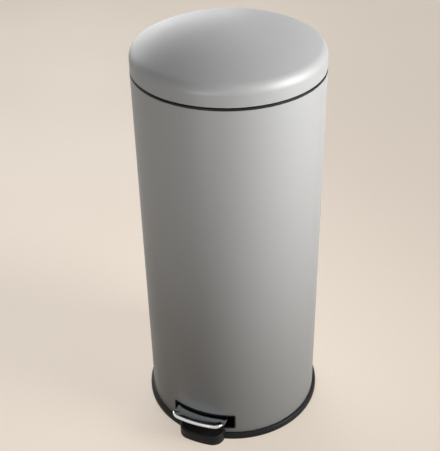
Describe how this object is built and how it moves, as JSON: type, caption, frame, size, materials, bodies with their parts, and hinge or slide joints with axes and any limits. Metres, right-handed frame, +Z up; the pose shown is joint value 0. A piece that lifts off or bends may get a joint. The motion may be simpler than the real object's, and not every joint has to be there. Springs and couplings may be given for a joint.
{
  "type": "pedal bin",
  "caption": "Round pedal bin with a domed lid hinged at the rear, opened by a foot pedal through a lever and lift rod, with a removable inner bucket.",
  "frame": {"origin": "on the floor, at the bin's axis", "axes": "+Z up along the bin's axis, -Y towards the pedal at the front, +Y towards the lid's hinge"},
  "size_m": [0.297, 0.355, 0.68],
  "materials": {
    "silver_paint": "satin metallic silver-grey",
    "black_plastic": "moulded, fine matt grain",
    "dark_plastic": "moulded, matt",
    "rubber": "matt rubber",
    "zinc_steel": "zinc plated",
    "chrome": "polished",
    "bucket_plastic": "moulded, satin"
  },
  "bodies": {
    "bin": {"body_shell": "silver_paint", "rim_ring": "black_plastic", "base_pan": "black_plastic", "foot_pads": "rubber", "bucket_deck": "dark_plastic", "deck_screws": "zinc_steel", "slot_trim": "black_plastic", "hinge_housing": "black_plastic", "backing_plate": "zinc_steel", "housing_screws": "zinc_steel", "hinge_pin": "zinc_steel", "pin_caps": "black_plastic", "rod_guides": "black_plastic", "guide_rivets": "zinc_steel", "pedal_axle": "zinc_steel", "axle_clips": "zinc_steel"},
    "lid": {"lid_dome": "silver_paint", "lid_liner": "black_plastic", "lid_hinge": "dark_plastic", "hinge_screws": "zinc_steel", "lid_buffers": "rubber"},
    "rod": {"lift_rod": "zinc_steel", "rod_clips": "black_plastic"},
    "pedal": {"pedal_lever": "zinc_steel", "pedal_plate": "chrome", "pedal_rivets": "zinc_steel"},
    "bucket": {"inner_bucket": "bucket_plastic"},
    "bail": {"bail_wire": "zinc_steel", "bail_grip": "black_plastic"}
  },
  "joints": [
    {"name": "lid_open", "type": "hinge", "parent": "bin", "child": "lid", "pos_m": [0, 0.15015, 0.617], "axis": [-1, 0, 0], "range_deg": [0, 78]},
    {"name": "pedal_press", "type": "hinge", "parent": "bin", "child": "pedal", "pos_m": [0, -0.06, 0.026], "axis": [1, 0, 0], "range_deg": [0, 7.4]},
    {"name": "rod_lift", "type": "slide", "parent": "bin", "child": "rod", "axis": [0, 0, 1], "range_m": [0, 0.02504]},
    {"name": "bucket_lift", "type": "slide", "parent": "bin", "child": "bucket", "axis": [0, 0, 1], "range_m": [0, 0.015]},
    {"name": "bail_swing", "type": "hinge", "parent": "bucket", "child": "bail", "pos_m": [0, 0, 0.5698], "axis": [-1, 0, 0], "range_deg": [0, 12]}
  ],
  "couplings": [
    {"joint": "pedal_press", "follows": "lid_open", "ratio": 0.09487},
    {"joint": "rod_lift", "follows": "lid_open", "m_per_rad": 0.018393}
  ]
}
